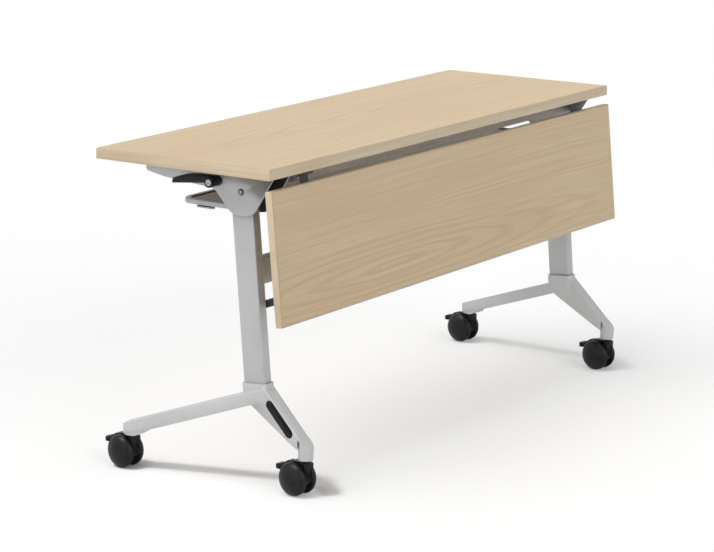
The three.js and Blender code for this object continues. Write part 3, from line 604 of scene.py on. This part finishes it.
pattern_ribs = joined(*[rib(step) for step in (-1, 0, 1)])
smooth(pattern_ribs, degrees=40)
for caster in CASTERS:
    axle = Vector(joints[f"{caster}_roll"]["axis"])
    stem = Vector(joints[f"{caster}_swivel"]["pos_m"])
    piece = copied(pattern_ribs, f"{caster}_hood_ribs")
    only(piece)
    piece.location = (stem.x, stem.y, 0)
    piece.rotation_euler.z = math.atan2(axle.y, axle.x)
    bpy.ops.object.transform_apply(location=True, rotation=True)
    fixed_on(f"{caster}_hood", piece, "black_plastic")
bpy.data.objects.remove(pattern_ribs)
print("ribs on", len(CASTERS), "hoods")

# %% [markdown]
# ## Socket heads
#
# The flip bolt and the lever are held by button heads with a hexagon socket. A turned head has a rounded rim,
# and the socket is punched into it. So the head is a short cylinder with a wide bevel, and a six-sided tool
# is taken out of it. The flip bolt's shank goes with its head, because both are one piece of steel. A black
# washer lies under the head.

# %% Heads
SOCKET_SIZE = 0.5
SOCKET_DEPTH = 0.6
RIM_SHARE = 0.6
TOP_FACE = 0.9


def rod(radius, length, start, sides=48):
    piece = added(bpy.ops.mesh.primitive_cylinder_add, vertices=sides, radius=radius, depth=length,
                  location=(0, 0, start + length / 2))
    bpy.ops.object.transform_apply(location=True)
    return piece


def round_top(piece, offset, segments):
    select_faces(piece, lambda middle, normal: normal.z > TOP_FACE)
    edit(piece, bpy.ops.mesh.bevel, offset=offset, segments=segments, affect="EDGES")


def take_out(piece, tool):
    apply_modifier(piece, "BOOLEAN", operation="DIFFERENCE", object=tool, solver="EXACT")
    bpy.data.objects.remove(tool)


def button_head(radius, height):
    head = rod(radius, height, 0)
    round_top(head, RIM_SHARE * height, segments=5)
    take_out(head, rod(SOCKET_SIZE * radius, height, height * (1 - SOCKET_DEPTH), sides=6))
    smooth(head, degrees=35)
    return head


# %% Flip bolts
BOLT_HEAD = 3 * MM
BOLT_RADIUS = 4 * MM
HEAD_SHARE = 0.72
WASHER = 1.2 * MM
WASHER_SINK = 0.2 * MM


def flip_bolt(side):
    node = f"pivot_bolt_{side}"
    axis = Vector(joints["top_flip"]["pos_m"])
    out = OUTWARD[side]
    inner, outer = reach(node, out)
    seat = Vector((0, axis.y, axis.z)) + out * (outer - BOLT_HEAD)
    full_radius = reach(node, (0, 0, 1))[1] - axis.z
    shank_length = outer - BOLT_HEAD - inner
    head = button_head(HEAD_SHARE * full_radius, BOLT_HEAD)
    bolt = joined(head, rod(BOLT_RADIUS, shank_length, -shank_length))
    bolt.name = f"flip_bolt_{side}"
    placed(bolt, seat, out)
    fixed_on(node, bolt, slot_of[node])
    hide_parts(node)
    washer = rod(full_radius, WASHER, 0)
    washer.name = f"flip_washer_{side}"
    round_top(washer, 0.5 * WASHER, segments=3)
    smooth(washer, degrees=40)
    placed(washer, seat - out * WASHER_SINK, out)
    fixed_on(node, washer, "black_plastic")


for side in SIDES:
    flip_bolt(side)
print("flip bolts done")

# %% [markdown]
# ## Plates of painted shade in the brackets
#
# A dark painted plate lines the inner cheek of each flip bracket. Its near black is painted shade: it stands
# for the deep shade inside the bracket, between the cheeks and under the worktop. It has the cheek's own
# outline, with a round opening for the boss of the head. So it is cut from a copy of the bracket: first the
# inner cheek, then its front part, pressed to the plate's thickness. A rod around the pivot takes out the
# opening.

# %% Bracket plates of painted shade
PLATE = 1.0 * MM
PLATE_GAP = 0.1 * MM
CHEEK = 5 * MM
CHEEK_CUT = 0.5 * CHEEK
BOSS_CLEAR = 30 * MM
PLATE_REAR = 18 * MM


def cut_off(piece, place, normal):
    select_all(piece)
    edit(piece, bpy.ops.mesh.bisect, plane_co=place, plane_no=normal, clear_outer=True, use_fill=True)


def shade_plate(side):
    node = f"flip_bracket_{side}"
    inward = -OUTWARD[side]
    axis = Vector(joints["top_flip"]["pos_m"])
    inner = reach(node, inward)[1] - CHEEK
    under_flange = reach(node, (0, 0, 1))[1] - CHEEK
    piece = merged_copy(node, f"wear_plate_{side}")
    cut_off(piece, inward * (inner + CHEEK_CUT), -inward)
    cut_off(piece, (0, axis.y + PLATE_REAR, 0), (0, 1, 0))
    cut_off(piece, (0, 0, under_flange), (0, 0, 1))
    select_all(piece)
    edit(piece, bpy.ops.transform.resize, value=(PLATE / CHEEK_CUT, 1, 1))
    edge = max(v.co.dot(inward) for v in piece.data.vertices)
    edit(piece, bpy.ops.transform.translate, value=inward * (inner - PLATE_GAP - edge))
    edit(piece, bpy.ops.mesh.normals_make_consistent)
    hole = rod(BOSS_CLEAR, 4 * PLATE, -2 * PLATE)
    placed(hole, (inward.x * inner, axis.y, axis.z), inward)
    take_out(piece, hole)
    smooth(piece, degrees=30)
    # The plate's dark paint is painted shade for the inside of the bracket.
    fixed_on(node, piece, "dark_paint")


for side in SIDES:
    shade_plate(side)
print("plates done")

# %% [markdown]
# ## Levers
#
# The release lever is a moulded handle: it is rounded all over and runs out to a slim tip for the fingers.
# The solid ends in a blunt face, so that face is drawn thinner and narrower after the edges are rounded.

# %% Slim tips
LEVER_ROUNDING = 2.5 * MM
TIP_ZONE = 5 * MM
TIP_NARROW, TIP_THIN = 0.75, 0.4
TIP_DROP = 1.5 * MM
TIP_FACE = 0.5


def slim_lever(side):
    node = f"lever_handle_{side}"
    piece = soften(node, LEVER_ROUNDING)
    tip = reach(node, (0, 1, 0))[1]
    select_faces(piece, lambda middle, normal: middle.y > tip - TIP_ZONE and normal.y > TIP_FACE)
    edit(piece, bpy.ops.transform.resize, value=(TIP_NARROW, 1, TIP_THIN))
    edit(piece, bpy.ops.transform.translate, value=(0, 0, -TIP_DROP))
    smooth(piece, degrees=45)


for side in SIDES:
    slim_lever(side)
print("levers done")

# %% [markdown]
# ## Lever caps
#
# A release lever is pressed on its shaft and held by a screw at the end of its boss. A grey cap lies round
# the screw. The cap is a disc with a rounded rim and a shallow dish, and the screw sits in the dish.

# %% Caps and screws on the levers
CAP_RADIUS = 7.2 * MM
CAP_HEIGHT = 1.4 * MM
CAP_ROUNDING = 0.6 * MM
DISH_RADIUS = 4.6 * MM
DISH_SLOPE = 0.4 * MM
DISH_DEPTH = 0.7 * MM
SCREW_RADIUS = 3.0 * MM
SCREW_HEIGHT = 1.6 * MM
CAP_FACE = 0.99


def lever_cap(side):
    node = f"lever_handle_{side}"
    axis = Vector(joints[f"lever_pull_{side}"]["pos_m"])
    out = OUTWARD[side]
    end = Vector((0, axis.y, axis.z)) + out * reach(node, out)[1]
    cap = rod(CAP_RADIUS, CAP_HEIGHT, 0)
    cap.name = f"lever_cap_{side}"
    round_top(cap, CAP_ROUNDING, segments=3)
    select_faces(cap, lambda middle, normal: normal.z > CAP_FACE)
    edit(cap, bpy.ops.mesh.inset, thickness=CAP_RADIUS - CAP_ROUNDING - DISH_RADIUS, depth=0)
    edit(cap, bpy.ops.mesh.inset, thickness=DISH_SLOPE, depth=-DISH_DEPTH)
    smooth(cap, degrees=35)
    placed(cap, end, out)
    fixed_on(node, cap, "silver_paint")
    screw = button_head(SCREW_RADIUS, SCREW_HEIGHT)
    screw.name = f"lever_screw_{side}"
    placed(screw, end + out * DISH_DEPTH, out)
    fixed_on(node, screw, "zinc_steel")


for side in SIDES:
    lever_cap(side)
print("lever caps done")

# %% [markdown]
# ## Ribbed insert
#
# A black plastic strip is let into the outer side of each front arm. Its face has a rim and a few ridges that
# follow its outline, as a moulded grip has. Insetting the flat face again and again, down and up in turn,
# draws those ridges from the strip's own outline.

# %% Insert
INSERT_ROUNDING = 0.5 * MM
INSERT_FACE = 0.985
RIDGES = 4
RIDGE_WIDTH = 1.9 * MM
RIDGE_SLOPE = 0.3 * MM
RIDGE_DEPTH = 1.0 * MM


def ribbed_insert(side):
    piece = soften(f"foot_insert_{side}", INSERT_ROUNDING)
    select_faces(piece, lambda middle, normal: normal.dot(OUTWARD[side]) > INSERT_FACE)
    for ridge in range(RIDGES):
        depth = -RIDGE_DEPTH if ridge % 2 == 0 else RIDGE_DEPTH
        edit(piece, bpy.ops.mesh.inset, thickness=RIDGE_WIDTH, depth=0)
        edit(piece, bpy.ops.mesh.inset, thickness=RIDGE_SLOPE, depth=depth)
    smooth(piece, degrees=35)


for side in SIDES:
    ribbed_insert(side)
print("inserts done")

# %% [markdown]
# ## A dark bead in the tray
#
# A black bead lies round the tray's floor, where the sheet meets the rail. It is painted shade: it stands for
# the dark gap along the rail's inner edge. It could be a thin tube along a path, but a flat plate with
# rounded corners, inset to a frame and given its height, keeps the bead's flat top and its even width.

# %% Bead of painted shade
TRAY_SHEET = 2 * MM
BEAD_WIDTH = 4.5 * MM
BEAD_HEIGHT = 2.6 * MM
BEAD_CORNER = 16 * MM
BEAD_ROUNDING = 0.9 * MM
BEAD_FRONT = 3 * MM


def tray_bead():
    left, right = reach("tray_floor", (1, 0, 0))
    front, rear = reach("tray_floor", (0, 1, 0))
    front += BEAD_FRONT
    level = reach("tray_floor", (0, 0, 1))[0] + TRAY_SHEET
    bead = added(bpy.ops.mesh.primitive_plane_add, size=1)
    bead.name = "tray_bead"
    select_all(bead)
    edit(bead, bpy.ops.transform.resize, value=(right - left, rear - front, 1))
    edit(bead, bpy.ops.mesh.bevel, offset=BEAD_CORNER, segments=6, affect="VERTICES")
    select_all(bead)
    edit(bead, bpy.ops.mesh.inset, thickness=BEAD_WIDTH)
    edit(bead, bpy.ops.mesh.delete, type="FACE")
    apply_modifier(bead, "SOLIDIFY", thickness=BEAD_HEIGHT, offset=1)
    apply_modifier(bead, "BEVEL", width=BEAD_ROUNDING, segments=2, limit_method="ANGLE")
    smooth(bead, degrees=40)
    placed(bead, ((left + right) / 2, (front + rear) / 2, level))
    # Black here is painted shade in the gap along the rail.
    fixed_on("tray_floor", bead, "black_plastic")


tray_bead()
print("bead done")

# %% [markdown]
# ## Dark strips on the hooks
#
# A black strip lies on each bag hook. It is painted shade: it stands for the shadow in the gap between the
# hook's bar and the tray rail above it. It is a small block with rounded edges that stands a little over the
# hook's bar on all sides.

# %% Hook strips of painted shade
HOOK_BAR = 4 * MM
STRIP_HEIGHT = 1.3 * MM
STRIP_OVER = 0.6 * MM
STRIP_ROUNDING = 0.5 * MM


def hook_shade_strip(side):
    node = f"bag_hook_{side}"
    low_x, high_x = reach(node, (1, 0, 0))
    front, rear = reach(node, (0, 1, 0))
    base = reach(node, (0, 0, 1))[0] + HOOK_BAR
    size = (high_x - low_x + 2 * STRIP_OVER, rear - front + 2 * STRIP_OVER, STRIP_HEIGHT)
    strip = added(bpy.ops.mesh.primitive_cube_add, size=1)
    strip.name = f"hook_strip_{side}"
    select_all(strip)
    edit(strip, bpy.ops.transform.resize, value=size)
    apply_modifier(strip, "BEVEL", width=STRIP_ROUNDING, segments=3)
    smooth(strip, degrees=40)
    placed(strip, ((low_x + high_x) / 2, (front + rear) / 2, base + STRIP_HEIGHT / 2))
    # Black here is painted shade along the top of the hook.
    fixed_on(node, strip, "black_plastic")


for side in SIDES:
    hook_shade_strip(side)
print("hook strips done")

# %% [markdown]
# ## Studio
#
# A product photograph of this kind is lit from a white room, with one lamp high up on the left behind the
# worktop, so that soft shadows fall to the right and towards the viewer. The room is a white world. The floor
# is a pale sweep: its near part is a matt surface that takes the shadows, and its far part shines white, so
# it fades away.

# %% Floor
FLOOR_SIZE = 40.0
FLOOR_NEAR = 1.3
FLOOR_FAR = 4.0
FLOOR_GRAIN_SCALE = 3
FLOOR_DIM = srgb(249, 249, 249)
FLOOR_PALE = srgb(251, 251, 251)
WHITE = (1, 1, 1, 1)


def pale_floor():
    material, shader, place = new_finish("pale_floor", Roughness=0.9, Specular_IOR_Level=0.1)
    tree = material.node_tree
    grain = place.scaled(FLOOR_GRAIN_SCALE).noise(detail=1)
    feed(shader, Base_Color=grain.blend(FLOOR_DIM, FLOOR_PALE))
    matt = Wire(tree, shader.outputs[0])
    glow = place.node("ShaderNodeEmission", None, {"Color": WHITE, "Strength": 1.0})
    far = place.length().between(FLOOR_NEAR, FLOOR_FAR)
    sweep = place.node("ShaderNodeMixShader", None, {0: far, 1: matt, 2: glow})
    tree.links.new(sweep.socket, tree.nodes["Material Output"].inputs["Surface"])
    return material


floor = added(bpy.ops.mesh.primitive_plane_add, size=FLOOR_SIZE, location=(0, 0, 0))
floor.name = "floor"
dress(floor, pale_floor())
print("floor:", FLOOR_SIZE, "m wide")

# %% White world
WORLD_FILL = 0.26


def white_world(fill):
    world = bpy.data.worlds.new("studio")
    bpy.context.scene.world = world
    world.use_nodes = True
    tree = world.node_tree
    background = tree.nodes["Background"]
    path = tree.nodes.new("ShaderNodeLightPath")
    seen = Wire(tree, path.outputs["Is Camera Ray"])
    glossy = Wire(tree, path.outputs["Is Glossy Ray"])
    through = Wire(tree, path.outputs["Is Transmission Ray"])
    shown = seen.math("MAXIMUM", seen, seen.math("MAXIMUM", glossy, through))
    strength = shown + (1 - shown) * fill
    tree.links.new(strength.socket, background.inputs["Strength"])
    background.inputs["Color"].default_value = WHITE


white_world(WORLD_FILL)
print("world fill:", WORLD_FILL)

# %% [markdown]
# ## Lamps
#
# Suns stand for the lamps, because a distant lamp gives every leg the same shadow. On the floor of the
# photograph the legs leave clear shadows and the wide board leaves hardly any, because the real key is broad
# and low enough to reach under the board. A key that reaches everything would give the board a hard dark
# patch instead. So the key is split by light linking: one sun lights the table, and its twins light the floor
# and are stopped by the legs only. The far leg stands in the board's shade and its shadow is faint, and so is
# the one beside the near front caster. One of the twins is therefore stopped by the rest of the near leg
# alone. A much wider sun that everything stops gives the board its broad, faint shade. Two weak fills from
# the front and from the left keep the shaded sides readable.

# %% Lamps
LAMP_DISTANCE = 3
KEY_DIRECTION = (0.50, -0.30, -1.0)
FRONT_FILL_DIRECTION = (0.25, 0.90, -0.40)
SIDE_FILL_DIRECTION = (1.0, 0.10, -0.40)
LEG_WORDS = ("foot", "caster")


def sun(name, towards, strength, spread):
    lamp = added(bpy.ops.object.light_add, type="SUN",
                 location=-LAMP_DISTANCE * Vector(towards).normalized())
    lamp.name = name
    lamp.data.energy = strength
    lamp.data.angle = math.radians(spread)
    lamp.rotation_euler = Vector(towards).to_track_quat("-Z", "Y").to_euler()
    return lamp


def linked(name, pieces, state="INCLUDE"):
    group = bpy.data.collections.new(name)
    for piece in pieces:
        group.objects.link(piece)
    for member in group.collection_objects:
        member.light_linking.link_state = state
    return group


def floor_sun(name, strength, blockers):
    key = sun(name, KEY_DIRECTION, strength, spread=9)
    key.light_linking.receiver_collection = linked(f"{name}_floor", [floor])
    key.light_linking.blocker_collection = linked(f"{name}_legs", blockers)


visible = [o for o in bpy.data.objects if o.type == "MESH" and not o.hide_render]
legs = [o for o in visible if any(word in o.name for word in LEG_WORDS)]
near_legs = [o for o in legs if "left" in o.name and "front_caster" not in o.name]
table_key = sun("table_key", KEY_DIRECTION, strength=1.3, spread=12)
table_key.light_linking.receiver_collection = linked("not_floor", [floor], "EXCLUDE")
floor_sun("floor_key", 0.5, legs)
floor_sun("near_floor_key", 0.85, near_legs)
sun("soft_key", KEY_DIRECTION, strength=1.1, spread=50)
sun("front_fill", FRONT_FILL_DIRECTION, strength=0.64, spread=40)
sun("side_fill", SIDE_FILL_DIRECTION, strength=0.24, spread=40)

# %% [markdown]
# ## Camera
#
# The photograph was taken from the panel's side, a little above the worktop, with a long lens. The bearing,
# the height and the lens were worked out from the corners of the worktop, the panel and the wheels.

# %% Camera
BEARING = math.radians(-55.076)
HEIGHT = math.radians(12.837)
DISTANCE = 6.7868
SIGHT = Vector((0.0410, 0.1032, 0.3310))
IMAGE_WIDTH = 714
FOCAL_PIXELS = 2662.6
SENSOR_MM = 36.0

level_back = Vector((math.sin(BEARING), -math.cos(BEARING), 0)) * math.cos(HEIGHT)
back = level_back + Vector((0, 0, math.sin(HEIGHT)))
camera = added(bpy.ops.object.camera_add, location=SIGHT + back * DISTANCE)
camera.rotation_euler = (-back).to_track_quat("-Z", "Y").to_euler()
camera.data.sensor_fit = "HORIZONTAL"
camera.data.sensor_width = SENSOR_MM
camera.data.lens = FOCAL_PIXELS / IMAGE_WIDTH * SENSOR_MM
bpy.context.scene.camera = camera
bpy.context.scene.view_settings.view_transform = "Standard"
print("lens:", round(camera.data.lens, 1), "mm")

# %% [markdown]
# ## Last update
#
# The view layer is brought up to date at the end. Softening and moulding must not make
# the table larger than its solids.

# %% Last update
bpy.context.view_layer.update()
